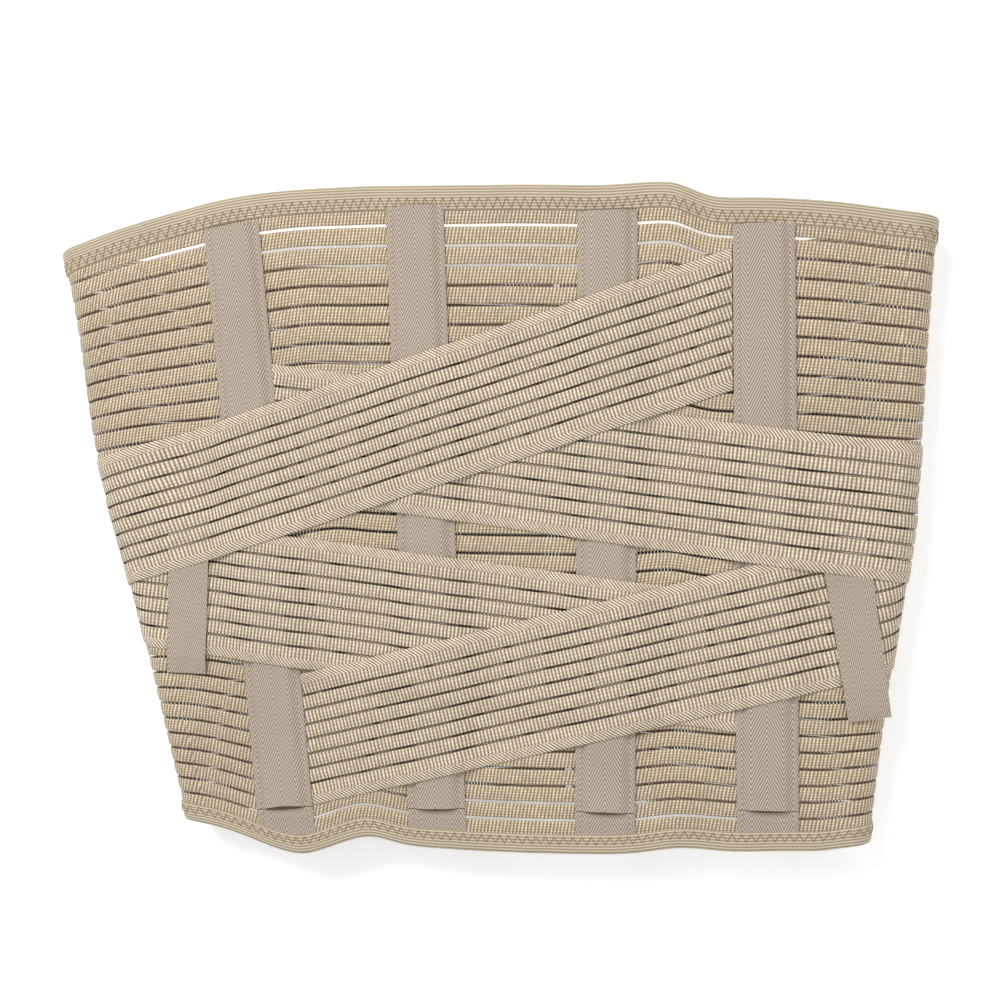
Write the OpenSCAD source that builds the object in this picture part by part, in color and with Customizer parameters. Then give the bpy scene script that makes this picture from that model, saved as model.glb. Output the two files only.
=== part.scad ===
// Lumbar support belt: an elastic back panel folded into a flat loop with its front flaps,
// four boned stay pockets and four crossing side straps that end in two hook tabs.
// The loop lies on its front: X across the belt, Y up the wearer's back, Z out of the back.

/* [Belt] */
// Width across the top corners of the flattened loop
top_w = 403; // [380:1:420]
// Width across the bottom corners
bottom_w = 315; // [300:1:330]
// Height at the side folds
side_h = 271; // [250:1:290]
// Rise of the top edge above the corners
top_crown = 24; // [14:1:30]
// How far the top edge's rise leans to the left
crown_lean = 0.45; // [0:0.05:0.6]
// Drop of the bottom edge below the corners
bottom_crown = 9.5; // [5:0.5:14]
// Sideways shift of the bottom edge, as the loop lies
lay_shift = 8.6; // [0:0.2:12]
// Thickness of the elastic panel
panel_t = 1.4; // [1:0.1:2]
// Height of the flattened loop, between the outer faces of its back and front
loop_h = 20.1; // [18:0.1:30]

/* [Bindings] */
// Width of the elastic binding on the top edge
top_bind_w = 12; // [8:1:16]
// Width of the elastic binding on the bottom edge
bottom_bind_w = 10; // [8:1:14]
// Thickness that a binding adds to each face
bind_t = 0.8; // [0.5:0.1:0.9]

/* [Stay pockets] */
// Width of the herringbone tape
tape_w = 27; // [24:1:30]
// Thickness of the backing tape under a stay
backing_t = 0.9; // [0.8:0.1:1.2]
// Height of the stay channel
channel_h = 1.2; // [1.1:0.1:1.6]
// Thickness of the cover tape
cover_t = 0.7; // [0.5:0.1:1]
// Width of the stitched seam along each edge of a pocket
seam_w = 3.2; // [2:0.2:4]
// Distance from the foot of a tape to the slit that the stay comes out of
slit_up = 7; // [6:1:12]
// Width of a steel stay
stay_w = 14; // [10:1:16]
// Thickness of a steel stay
stay_t = 0.8; // [0.5:0.1:0.9]
// Length of a steel stay
stay_l = 240; // [200:5:244]

/* [Straps] */
// Width of the ventilated elastic straps
strap_w = 60; // [50:1:64]
// Thickness of a strap
strap_t = 1; // [0.8:0.1:1]
// Width of the strap keepers at the sides
keeper_w = 19; // [15:1:22]

/* [Front] */
// Half of the overlap at the front closure
lap = 30; // [20:1:34]
// Height of the front above the middle of the side folds
front_up = 118; // [110:1:124]
// Height of the front below the middle of the side folds
front_down = 120; // [110:1:124]
// Distance of a hook tab's outer end from the middle
tab_x = 118; // [110:1:124]
// Length of a hook tab
tab_l = 74; // [60:1:76]
// Height of a hook tab
tab_h = 84; // [76:1:90]
// Distance from a side fold to the line that a hook tab peels back to
peel_in = 12; // [8:1:20]

/* [Hidden] */

LEFT = -1;
RIGHT = 1;
fabric = "#C9B590";
strap_fabric = "#D2BE9A";
tape_fabric = "#BFA994";
binding_fabric = "#C6B18C";
hook_plastic = "#B9A68A";
steel = "#A9ACB0";

// Clearances between bodies, and the room that bound cloth takes round a fold
gap = 0.3;
fold_room = panel_t + bind_t + gap;

// Levels, from the floor up: tabs, flaps, hollow, back panel, pockets, straps
tab_t = 2.4;
hook_t = 0.8;
loop_t = 0.8;
flap_z = tab_t + hook_t + gap + loop_t;
back_z = flap_z + loop_h - panel_t;
back_top = back_z + panel_t;
channel_z = back_top + backing_t;
cover_z = channel_z + channel_h;
ply_gap = 0.2;
keeper_t = 0.6;
lower_left_z = cover_z + cover_t + gap;
lower_right_z = lower_left_z + strap_t + ply_gap;
right_keeper_z = lower_right_z + strap_t + ply_gap;
upper_right_z = right_keeper_z + keeper_t + ply_gap;
upper_left_z = upper_right_z + strap_t + ply_gap;

// Outline of the back, as curves of u from -1 at the left corner to 1 at the right
top_drop = 2;
bottom_drop = 3.5;
steps = 24;
function top_x(u) = u * top_w / 2;
function bottom_x(u) = lay_shift + u * bottom_w / 2;
function raw_top(u) = side_h / 2 - top_drop * u + top_crown * (1 - u * u) * (1 - crown_lean * u);
function raw_bottom(u) = -side_h / 2 - bottom_drop * u - bottom_crown * (1 - u * u);
us = [for (i = [0 : steps]) -1 + 2 * i / steps];
mid_y = (max([for (u = us) raw_top(u)]) + min([for (u = us) raw_bottom(u)])) / 2;
function top_at(u, in = 0) = [top_x(u), raw_top(u) - mid_y - in];
function bottom_at(u, in = 0) = [bottom_x(u), raw_bottom(u) - mid_y + in];
function top_run(in = 0) = [for (u = us) top_at(u, in)];
function bottom_run(in = 0) = [for (i = [steps : -1 : 0]) bottom_at(us[i], in)];

// Side folds: a straight line from the bottom corner to the top corner on each side
function unit(v) = v / norm(v);
function corner_low(side) = bottom_at(side);
function corner_high(side) = top_at(side);
function fold_dir(side) = unit(corner_high(side) - corner_low(side));
function fold_len(side) = norm(corner_high(side) - corner_low(side));
function outward(side) = side * [fold_dir(side).y, -fold_dir(side).x];
function meet(p, d, q, e) = p + d * ((q - p).x * e.y - (q - p).y * e.x) / (d.x * e.y - d.y * e.x);

// Stay tapes: middle line from foot to top, on the back panel
tape_foot_x = [-98.9, -26.6, 50.4, 122.3];
tape_top_x = [-117.6, -30.1, 58.2, 126.9];
tape_end_gap = 2.5;
function u_top(x) = x / (top_w / 2);
function u_foot(x) = (x - lay_shift) / (bottom_w / 2);
function tape_foot(k) = bottom_at(u_foot(tape_foot_x[k]), bottom_bind_w + tape_end_gap);
function tape_top(k) = top_at(u_top(tape_top_x[k]), top_bind_w + tape_end_gap);
function tape_len(k) = norm(tape_top(k) - tape_foot(k));
function tape_dir(k) = unit(tape_top(k) - tape_foot(k));
stay_rise = 4; // from the slit up to the stay's foot
stay_foot = slit_up + stay_rise;

// Straps: the middle of the sewn end, at a tape's edge, and the place where the strap meets the
// side fold, as a distance up the fold. The last number is how far a strap takes to rise from
// the panel to its own level. Each line is [end x, end y, distance, side, tape, rise].
upper_left = [111, 91.8 - mid_y, 143, LEFT, 3, 14];
upper_right = [-97, 49.5 - mid_y, 144.5, RIGHT, 0, 14];
lower_left = [110, -60 - mid_y, 115.5, LEFT, 3, 14];
lower_right = [-86, -93.7 - mid_y, 106.5, RIGHT, 0, 6];
// How far a strap is drawn past the fold line, on the back and on the front, before it is cut there
past_fold = 10;
past_front_fold = 30;
function strap_side(s) = s[3];
function strap_end(s) = [s[0], s[1]];
function strap_at_fold(s) = corner_low(s[3]) + s[2] * fold_dir(s[3]);
function strap_dir(s) = unit(strap_at_fold(s) - strap_end(s));
function across(d) = [-d.y, d.x];
// The same strap carried straight on over the side band and back along the front
function fold_slope(s) = (strap_dir(s) * fold_dir(s[3])) / (strap_dir(s) * outward(s[3]));
function front_dir(s) = unit(fold_slope(s) * fold_dir(s[3]) - outward(s[3]));
function front_fold_dist(s) = s[2] + fold_slope(s) * loop_h;
function front_at_fold(s) = corner_low(s[3]) + front_fold_dist(s) * fold_dir(s[3]);
function fold_half(s) = strap_w / 2 / (strap_dir(s) * outward(s[3]));

// Places things on a side fold: X up the fold from the bottom corner, Y outwards
module on_fold(side)
    translate(corner_low(side))
        rotate(atan2(fold_dir(side).y, fold_dir(side).x))
            mirror([0, side > 0 ? 1 : 0, 0])
                children();

// Everything beyond a line that runs some way inside a side fold, or short of it
reach = 50;
belt_far = 300;
belt_tall = 100;
module past_line(side, in)
    on_fold(side)
        translate([-reach, -in, -1])
            cube([fold_len(side) + 2 * reach, reach, belt_tall]);

module short_of_line(side, in)
    on_fold(side)
        translate([-reach, -belt_far, -1])
            cube([fold_len(side) + 2 * reach, belt_far - in, belt_tall]);

module inside_folds() {
    difference() {
        children();
        past_line(LEFT, fold_room);
        past_line(RIGHT, fold_room);
    }
}

module plate(points, z, t) translate([0, 0, z]) linear_extrude(t) polygon(points);

// ---- Back ----
edge_in = 1.5;
module back_plate(in)
    inside_folds() plate(concat(top_run(in), bottom_run(in)), back_z, panel_t);

module back_panel() color(fabric) back_plate(edge_in);

module edge_binding(outer, inner)
    color(binding_fabric)
        difference() {
            inside_folds() plate(concat(outer, inner), back_z - bind_t, panel_t + 2 * bind_t);
            back_plate(edge_in);
        }

module top_binding()
    edge_binding(top_run(), [for (i = [steps : -1 : 0]) top_at(us[i], top_bind_w)]);

module bottom_binding()
    edge_binding([for (u = us) bottom_at(u, bottom_bind_w)], bottom_run());

// Places things on tape k: X across it, Y up from its foot
module on_tape(k)
    translate(tape_foot(k))
        rotate(atan2(tape_dir(k).y, tape_dir(k).x) - 90)
            children();

module pocket_backing(k)
    color(tape_fabric)
        on_tape(k)
            translate([-tape_w / 2, 0, back_top])
                cube([tape_w, tape_len(k), backing_t]);

module pocket_seams(k)
    color(tape_fabric)
        on_tape(k)
            for (x = [-tape_w / 2, tape_w / 2 - seam_w])
                translate([x, slit_up, channel_z])
                    cube([seam_w, tape_len(k) - slit_up, channel_h]);

module pocket_cover(k)
    color(tape_fabric)
        on_tape(k)
            translate([-tape_w / 2, slit_up, cover_z])
                cube([tape_w, tape_len(k) - slit_up, cover_t]);

// Spring steel strip with round ends, free to slide along its pocket
module stay(k)
    color(steel)
        on_tape(k)
            translate([0, stay_foot, channel_z + (channel_h - stay_t) / 2])
                linear_extrude(stay_t)
                    union() {
                        translate([-stay_w / 2, stay_w / 2])
                            square([stay_w, stay_l - stay_w]);
                        for (y = [stay_w / 2, stay_l - stay_w / 2])
                            translate([0, y]) circle(d = stay_w, $fn = 48);
                    }

// ---- Straps on the back ----
// Sewn down at a tape's edge, then up a short ramp to the strap's own level
module back_strap(s, z) {
    d = strap_dir(s);
    e = tape_dir(s[4]);
    w = across(d) * strap_w / 2;
    start = strap_end(s);
    step = d * s[5];
    far = strap_at_fold(s) + d * past_fold;
    low = [meet(start + w, d, start, e), meet(start - w, d, start, e)];
    color(strap_fabric)
        inside_folds() {
            plate([low[0] + step, low[1] + step, far - w, far + w], z, strap_t);
            hull() {
                plate([low[0], low[1], low[1] + d, low[0] + d], back_top + gap, strap_t);
                plate([low[0] + step - d, low[1] + step - d, low[1] + step, low[0] + step], z, strap_t);
            }
        }
}

module upper_left_strap() back_strap(upper_left, upper_left_z);
module upper_right_strap() back_strap(upper_right, upper_right_z);
module lower_left_strap() back_strap(lower_left, lower_left_z);
module lower_right_strap() back_strap(lower_right, lower_right_z);

// A tape bridge sewn to the panel above and below a strap
foot_l = 4;
module keeper(x, y, turn, len, z)
    color(tape_fabric)
        translate([x, y - mid_y, 0])
            rotate([0, 0, turn])
                translate([-keeper_w / 2, 0, 0])
                    rotate([90, 0, 90])
                        linear_extrude(keeper_w)
                            polygon([[0, back_top], [0, z + keeper_t], [len, z + keeper_t], [len, back_top],
                                     [len - foot_l, back_top], [len - foot_l, z], [foot_l, z],
                                     [foot_l, back_top]]);

left_keeper_l = 81;
right_keeper_l = 88;
right_keeper_turn = 5;
module left_keeper() keeper(-148, -65, 0, left_keeper_l, lower_left_z + strap_t + ply_gap);
module right_keeper() keeper(160, -84, right_keeper_turn, right_keeper_l, right_keeper_z);

// ---- Side bands, between the two folds of each side ----
band_z = flap_z + gap;
band_h = loop_h - 2 * gap;

module upright(points, out, t)
    translate([0, out + t, 0]) rotate([90, 0, 0]) linear_extrude(t) polygon(points);

module side_panel(side)
    color(fabric)
        on_fold(side)
            translate([edge_in, -panel_t, band_z])
                cube([fold_len(side) - 2 * edge_in, panel_t, band_h]);

module side_bindings(side)
    color(binding_fabric)
        on_fold(side)
            difference() {
                union() {
                    translate([0, -panel_t - bind_t, band_z])
                        cube([bottom_bind_w, panel_t + 2 * bind_t, band_h]);
                    translate([fold_len(side) - top_bind_w, -panel_t - bind_t, band_z])
                        cube([top_bind_w, panel_t + 2 * bind_t, band_h]);
                }
                translate([edge_in, -panel_t, band_z])
                    cube([fold_len(side) - 2 * edge_in, panel_t, band_h]);
            }

module side_strap(s, out) {
    h = fold_half(s);
    shift = fold_slope(s) * loop_h;
    color(strap_fabric)
        on_fold(s[3])
            upright([[s[2] - h, band_z + band_h], [s[2] + h, band_z + band_h],
                     [s[2] + h + shift, band_z], [s[2] - h + shift, band_z]], out, strap_t);
}

inner_out = gap;
outer_out = inner_out + strap_t + ply_gap;

// ---- Front flaps ----
function front_high(x) = [x, front_up - mid_y];
function front_low(x) = [x, -front_down - mid_y];
flap_gap = 3.3;
function flap_edge(side) = side < 0 ? lap : lap + flap_gap;
function flap_outline(side) =
    [corner_low(side), front_low(flap_edge(side)), front_high(flap_edge(side)), corner_high(side)];

module flap_plate(side, in)
    inside_folds()
        plate([corner_low(side) + [0, in], front_low(flap_edge(side)) + [0, in],
               front_high(flap_edge(side)) - [0, in], corner_high(side) - [0, in]], flap_z, panel_t);

module front_panel(side) color(fabric) flap_plate(side, edge_in);

module front_bindings(side) {
    p = flap_outline(side);
    low = [0, bottom_bind_w];
    high = [0, top_bind_w];
    color(binding_fabric)
        difference() {
            inside_folds() {
                plate([p[0], p[1], p[1] + low, p[0] + low], flap_z - bind_t, panel_t + 2 * bind_t);
                plate([p[3], p[2], p[2] - high, p[3] - high], flap_z - bind_t, panel_t + 2 * bind_t);
            }
            flap_plate(side, edge_in);
        }
}

module flat_pad(x0, x1, y0, y1, z, t)
    translate([x0, y0 - mid_y, z]) cube([x1 - x0, y1 - y0, t]);

// Brushed loop cloth that the hook tabs grip, on the outer face of each flap
loop_far = 140;
loop_near_left = -20;
loop_near_right = 38;
loop_low = -52;
loop_high = 76;
module loop_panel(x0, x1)
    color(binding_fabric) flat_pad(x0, x1, loop_low, loop_high, flap_z - loop_t, loop_t);
module left_loop_panel() loop_panel(-loop_far, loop_near_left);
module right_loop_panel() loop_panel(loop_near_right, loop_far);

// Front closure: hook pad inside the left flap's edge, loop pad on the right flap's underlap
closure_up = 92;
closure_in = 4;
hook_pad_t = 1;
closure_gap = 0.4;
loop_pad_z = flap_z + panel_t + hook_pad_t + closure_gap;
underlap_z = loop_pad_z + loop_t;
module closure_hook()
    color(hook_plastic)
        flat_pad(-lap + closure_in, lap - closure_in, -closure_up, closure_up, flap_z + panel_t, hook_pad_t);
module closure_loop()
    color(binding_fabric)
        flat_pad(-lap, lap, -closure_up - closure_in, closure_up + closure_in, loop_pad_z, loop_t);
underlap_up = 104;
underlap_root = lap + 11;
underlap_margin = 2;
underlap_seam_w = 6;
seam_up = 98;
module underlap_panel()
    color(fabric)
        flat_pad(-lap - underlap_margin, underlap_root, -underlap_up, underlap_up, underlap_z, panel_t);
module underlap_seam()
    color(fabric)
        flat_pad(underlap_root - underlap_seam_w, underlap_root, -seam_up, seam_up,
                 flap_z + panel_t, underlap_z - flap_z - panel_t);

// ---- Straps along the front, and the hook tabs that they end in ----
// Each strap stays on the flap as far as the line that its tab peels back to
outer_strap_z = 0.1;
inner_strap_z = outer_strap_z + strap_t + ply_gap;
module front_strap_plate(s, z) {
    d = front_dir(s);
    w = across(d) * strap_w / 2;
    start = front_at_fold(s) - d * past_front_fold;
    tab_line = [strap_side(s) * tab_x, 0];
    color(strap_fabric)
        inside_folds()
            plate([start + w, start - w, meet(start - w, d, tab_line, [0, 1]),
                   meet(start + w, d, tab_line, [0, 1])], z, strap_t);
}

module front_strap(s, z)
    intersection() {
        front_strap_plate(s, z);
        short_of_line(strap_side(s), peel_in + gap);
    }

module wrap_part(s, z)
    difference() {
        front_strap_plate(s, z);
        short_of_line(strap_side(s), peel_in);
    }

module strap_wraps(upper, lower) {
    wrap_part(upper, outer_strap_z);
    wrap_part(lower, inner_strap_z);
}

tab_mid = 11;
tip_r = 20;
tip_in = 8;
arc_step = 15;
function tab_tip(side, up, from) =
    [for (a = [from : arc_step : from + 90])
        [side * (tab_x - tab_l + tip_r - tip_r * cos(a)),
         tab_mid - mid_y + up * (tab_h / 2 - tip_in - tip_r) + tip_r * sin(a)]];
module tab(side, in, z, t)
    translate([0, 0, z])
        linear_extrude(t)
            offset(delta = -in)
                polygon(concat(
                    [[side * tab_x, tab_mid - mid_y + tab_h / 2], [side * tab_x, tab_mid - mid_y - tab_h / 2]],
                    tab_tip(side, -1, -90),
                    tab_tip(side, 1, 0)));

module hook_tab(side) color(binding_fabric) tab(side, 0, 0, tab_t);
hook_in = 4;
module tab_hook(side) color(hook_plastic) tab(side, hook_in, tab_t, hook_t);

back_panel();
top_binding();
bottom_binding();
for (k = [0 : 3]) {
    pocket_backing(k);
    pocket_seams(k);
    pocket_cover(k);
    stay(k);
}
upper_left_strap();
upper_right_strap();
lower_left_strap();
lower_right_strap();
left_keeper();
right_keeper();
side_panel(LEFT);  // left_side_panel
side_bindings(LEFT);  // left_side_bindings
side_strap(upper_left, outer_out);  // left_side_upper_strap
side_strap(lower_left, inner_out);  // left_side_lower_strap
side_panel(RIGHT);  // right_side_panel
side_bindings(RIGHT);  // right_side_bindings
side_strap(upper_right, outer_out);  // right_side_upper_strap
side_strap(lower_right, inner_out);  // right_side_lower_strap
front_panel(LEFT);  // left_front_panel
front_bindings(LEFT);  // left_front_bindings
left_loop_panel();
closure_hook();
front_panel(RIGHT);  // right_front_panel
front_bindings(RIGHT);  // right_front_bindings
right_loop_panel();
underlap_panel();
underlap_seam();
closure_loop();
strap_wraps(upper_left, lower_left);  // left_strap_wraps
front_strap(upper_left, outer_strap_z);  // left_front_upper_strap
front_strap(lower_left, inner_strap_z);  // left_front_lower_strap
hook_tab(LEFT);  // left_tab
tab_hook(LEFT);  // left_tab_hook
strap_wraps(upper_right, lower_right);  // right_strap_wraps
front_strap(upper_right, outer_strap_z);  // right_front_upper_strap
front_strap(lower_right, inner_strap_z);  // right_front_lower_strap
hook_tab(RIGHT);  // right_tab
tab_hook(RIGHT);  // right_tab_hook
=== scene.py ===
import math

import bpy
import numpy as np
from mathutils import Matrix, Vector


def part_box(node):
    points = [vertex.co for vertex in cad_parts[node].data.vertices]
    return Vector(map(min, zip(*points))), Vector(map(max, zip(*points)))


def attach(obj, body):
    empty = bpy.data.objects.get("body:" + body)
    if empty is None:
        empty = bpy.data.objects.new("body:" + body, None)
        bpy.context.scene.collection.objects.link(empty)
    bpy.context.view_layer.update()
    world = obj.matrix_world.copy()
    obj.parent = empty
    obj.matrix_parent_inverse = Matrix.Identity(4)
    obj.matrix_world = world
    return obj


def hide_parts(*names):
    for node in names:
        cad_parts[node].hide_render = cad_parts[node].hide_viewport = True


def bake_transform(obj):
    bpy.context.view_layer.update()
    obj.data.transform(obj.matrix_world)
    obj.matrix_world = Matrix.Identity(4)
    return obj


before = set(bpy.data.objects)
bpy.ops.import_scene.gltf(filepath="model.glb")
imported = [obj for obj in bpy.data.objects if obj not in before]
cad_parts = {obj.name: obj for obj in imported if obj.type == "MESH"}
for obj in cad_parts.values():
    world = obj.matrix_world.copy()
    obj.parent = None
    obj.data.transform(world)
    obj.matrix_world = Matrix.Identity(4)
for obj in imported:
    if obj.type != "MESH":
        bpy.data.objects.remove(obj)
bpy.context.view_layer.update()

# ---- Back panel and the cloth that turns round the side folds ----
# A wide woven elastic with 36 horizontal ribs and open slits between them. It is folded at both
# sides into a flat loop, so each rib runs on round a fold into the front flap. Sizes are in mm.
MM = 0.001
RIBS = 36
COLUMN = 1.65
COLUMN_LEAN = 0.2
PANEL_T = 0.75
TURN_IN = 12.0
# The outline: half widths of its edges, how far each edge stands from the middle, how far its ends
# drop to the right, how far it bows out, and how far the bow leans to the left
TOP_HALF, TOP_Y, TOP_DROP, TOP_BOW, TOP_LEAN = 201.5, 127.644, 2.0, 24.0, 0.45
BOTTOM_HALF, BOTTOM_Y, BOTTOM_DROP, BOTTOM_BOW = 157.5, -143.356, 3.5, 9.5
BOTTOM_SHIFT = 8.6
MID_Y = 7.856
back_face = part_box("back_panel")[1].z / MM
front_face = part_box("left_front_panel")[0].z / MM
TURN_R = (back_face - front_face) / 2
turn_z = (back_face + front_face) / 2
SIDES = {"left": -1, "right": 1}
# How the edges lie: height of each hump, its place, and its spread to the left and right
TOP_LAY = [(2.2, -120, 28, 28), (-1.6, -12, 30, 30), (3.8, 86, 16, 8), (-1.2, 108, 7, 10),
           (1.9, 160, 25, 25)]
BOTTOM_LAY = [(-8.6, -94, 20, 13), (3.2, -58, 9, 9), (2.7, 84, 12, 12), (-1.7, 148, 12, 12)]
# Soft swells of the panel between its stays: height, x, y, half sizes and turn in degrees
SWELLS = [(1.5, -77, 88, 9, 30, 8), (-0.9, -60, 96, 8, 34, 8), (1.3, -52, 60, 9, 24, -12),
          (1.1, 8, 104, 14, 22, 0), (-0.7, 30, 110, 8, 20, 0), (1.6, 84, 118, 7, 24, -18),
          (-1.1, 97, 120, 6, 20, -18), (0.9, 106, 96, 8, 20, 0), (1.5, -158, 40, 9, 60, 10),
          (-0.8, -140, 30, 8, 50, 10), (1.2, 156, 60, 10, 45, -6), (-0.9, 172, 40, 8, 50, -6),
          (1.2, -62, -120, 8, 20, 0), (-0.9, -76, -124, 8, 16, 0), (1.1, 12, -118, 16, 18, 0),
          (1.4, 84, -122, 9, 20, 6), (-0.8, 98, -118, 8, 18, 6), (1.2, -128, -80, 10, 34, 12),
          (0.9, 146, -110, 8, 26, 0), (0.8, 30, -8, 20, 14, 0)]
# The stay tapes' feet and tops, and half their width
TAPE_FEET = [(-98.3, -140.5), (-26.6, -140.1), (50.4, -141.0), (122.3, -139.4)]
TAPE_TOPS = [(-117.6, 134.3), (-30.1, 138.5), (58.2, 131.7), (126.9, 122.3)]
TAPE_HALF = 13.5


def humps(x, rows):
    total = np.zeros_like(x)
    for height, at, left, right in rows:
        spread = np.where(x < at, left, right)
        total = total + height * np.exp(-((x - at) / spread) ** 2 / 2)
    return total


def top_edge(u):
    x = TOP_HALF * u
    y = TOP_Y - TOP_DROP * u + TOP_BOW * (1 - u * u) * (1 - TOP_LEAN * u)
    return np.stack([x, y + humps(x, TOP_LAY) * (1 - u**8)], -1)


def bottom_edge(u):
    x = BOTTOM_SHIFT + BOTTOM_HALF * u
    y = BOTTOM_Y - BOTTOM_DROP * u - BOTTOM_BOW * (1 - u * u)
    return np.stack([x, y + humps(x, BOTTOM_LAY) * (1 - u**8)], -1)


BOTTOM_RIBS = 0.9  # the bottom ribs' width, over the mean


def row_share(row):
    """How far up the panel a row is: the ribs are a little narrower towards the bottom edge."""
    v = row / RIBS
    return (v * (BOTTOM_RIBS + (1 - BOTTOM_RIBS) * v))[..., None]


def back_at(u, row):
    share = row_share(row)
    return bottom_edge(u) * (1 - share) + top_edge(u) * share


def fold_line(side):
    """A side fold's bottom corner, and the directions up along it and out from it."""
    end = np.array([SIDES[side]], float)
    low, high = bottom_edge(end)[0], top_edge(end)[0]
    up = (high - low) / np.linalg.norm(high - low)
    return low, up, SIDES[side] * np.array([up[1], -up[0]])


FOLDS = {side: fold_line(side) for side in SIDES}


def inside(side, p):
    low, up, out = FOLDS[side]
    return -(p - low) @ out


def row_end(side, row):
    """Where each row of the back comes to the line at which its turn begins."""
    rows, back = np.unique(row, return_inverse=True)
    u = np.linspace(0, SIDES[side], 161)
    ends = [np.interp(-TURN_IN, -inside(side, back_at(u, np.full_like(u, r))), u) for r in rows]
    return np.array(ends)[back]


def on_tape(k, p):
    """A point's place on a stay tape: across it and up from its foot."""
    foot, top = np.array(TAPE_FEET[k]), np.array(TAPE_TOPS[k])
    up = (top - foot) / np.linalg.norm(top - foot)
    return (p - foot) @ np.array([up[1], -up[0]]), (p - foot) @ up


def smooth(x):
    x = np.clip(x, 0, 1)
    return x * x * (3 - 2 * x)


FADE_AT_TAPE, FADE_AT_TURN = 9, 12


def swell(p):
    """How far the panel stands off its flat level. The stays keep it flat along the tapes."""
    lift = np.zeros(p.shape[:-1])
    for height, x, y, half_x, half_y, turn in SWELLS:
        c, s = math.cos(math.radians(turn)), math.sin(math.radians(turn))
        dx, dy = p[..., 0] - x, p[..., 1] - y
        over, up = (dx * c + dy * s) / half_x, (dy * c - dx * s) / half_y
        lift = lift + height * np.exp(-over**2 / 2 - up**2 / 2)
    for k in range(4):
        lift = lift * smooth((np.abs(on_tape(k, p)[0]) - TAPE_HALF) / FADE_AT_TAPE)
    for side in SIDES:
        lift = lift * smooth((inside(side, p) - TURN_IN) / FADE_AT_TURN)
    return lift


def solid_point(p, z):
    return np.concatenate([p, np.broadcast_to(z, p.shape[:-1])[..., None]], -1)


# How far each side bulges outwards: all along, how much more round a height, that height, and its
# reach up and down; then the distances from the middle over which the bulge sets in
BULGE = {"left": (4.0, 4.5, 35, 45), "right": (0.0, 4.2, 5, 80)}
BULGE_FROM, BULGE_TO = 132.0, 172.0


def bulged(points):
    far = smooth((np.abs(points[..., 0]) - BULGE_FROM) / (BULGE_TO - BULGE_FROM))
    left, right = (all_along + more * np.exp(-((points[..., 1] - at) / reach) ** 2)
                   for all_along, more, at, reach in BULGE.values())
    moved = points.copy()
    moved[..., 0] += far * np.where(points[..., 0] < 0, -left, right)
    return moved


def on_back(s, row, lift):
    left, right = row_end("left", row), row_end("right", row)
    p = back_at(left + (right - left) * s, row)
    return solid_point(p, back_face + swell(p) + lift)


def round_fold(side, arc, up_fold, lift):
    """A place on the turn: arc mm round from where the back ends, up_fold mm up the fold."""
    low, up, out = FOLDS[side]
    angle = np.clip(arc / TURN_R, 0, math.pi)
    over = np.where(arc < 0, -arc, np.maximum(arc - math.pi * TURN_R, 0))
    inward = TURN_R + over - (TURN_R + lift) * np.sin(angle)
    p = low + up_fold[..., None] * up - inward[..., None] * out
    return solid_point(p, turn_z + (TURN_R + lift) * np.cos(angle))


# Where each flap's closing edge lies across the front, and its top and bottom ends
LAP_EDGE = {"left": 30.0, "right": 33.3}
FRONT_UP, FRONT_DOWN = 118 - MID_Y, -120 - MID_Y


def front_at(side, t, row):
    """A flap's rows: from the fold at t = 0 to the closing edge at t = 1."""
    low, up, out = FOLDS[side]
    high = top_edge(np.array([SIDES[side]], float))[0]
    t, share = t[..., None], row_share(row)
    foot = low * (1 - t) + np.array([LAP_EDGE[side], FRONT_DOWN]) * t
    head = high * (1 - t) + np.array([LAP_EDGE[side], FRONT_UP]) * t
    return foot * (1 - share) + head * share


def front_start(side, row):
    return TURN_IN / inside(side, front_at(side, np.ones_like(row), row))


def run(before, after, low, up, out):
    """A row's height up the fold, and how fast it climbs as it goes that way."""
    step = after - before
    return (after - low) @ up, (step @ up) / (step @ out)


def on_turn(side, first, last):
    """Places on part of a turn, from share first to share last of the way from back to front."""
    length = 2 * (TURN_IN - TURN_R) + math.pi * TURN_R

    def place(s, row, lift):
        s = 1 - s if side == "left" else s
        way = first + (last - first) * s
        low, up, out = FOLDS[side]
        end, start = row_end(side, row), front_start(side, row)
        back_up, back_run = run(back_at(end * 0.98, row), back_at(end, row), low, up, out)
        front_run = run(front_at(side, start, row), front_at(side, start + 0.03, row), low, up, -out)[1]
        front_up = (front_at(side, start, row) - low) @ up
        past = 1 - way
        climb = back_up * (1 + 2 * way) * past**2 + front_up * (3 - 2 * way) * way**2
        climb = climb + length * way * past * (back_run * past - front_run * way)
        return round_fold(side, way * length - (TURN_IN - TURN_R), climb, lift)

    return place


def on_front(side):
    def place(s, row, lift):
        s = 1 - s if side == "left" else s
        start = front_start(side, row)
        p = front_at(side, start + (1 - start) * s, row)
        return solid_point(p, front_face - lift)

    return place


FLAT = {}


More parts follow.
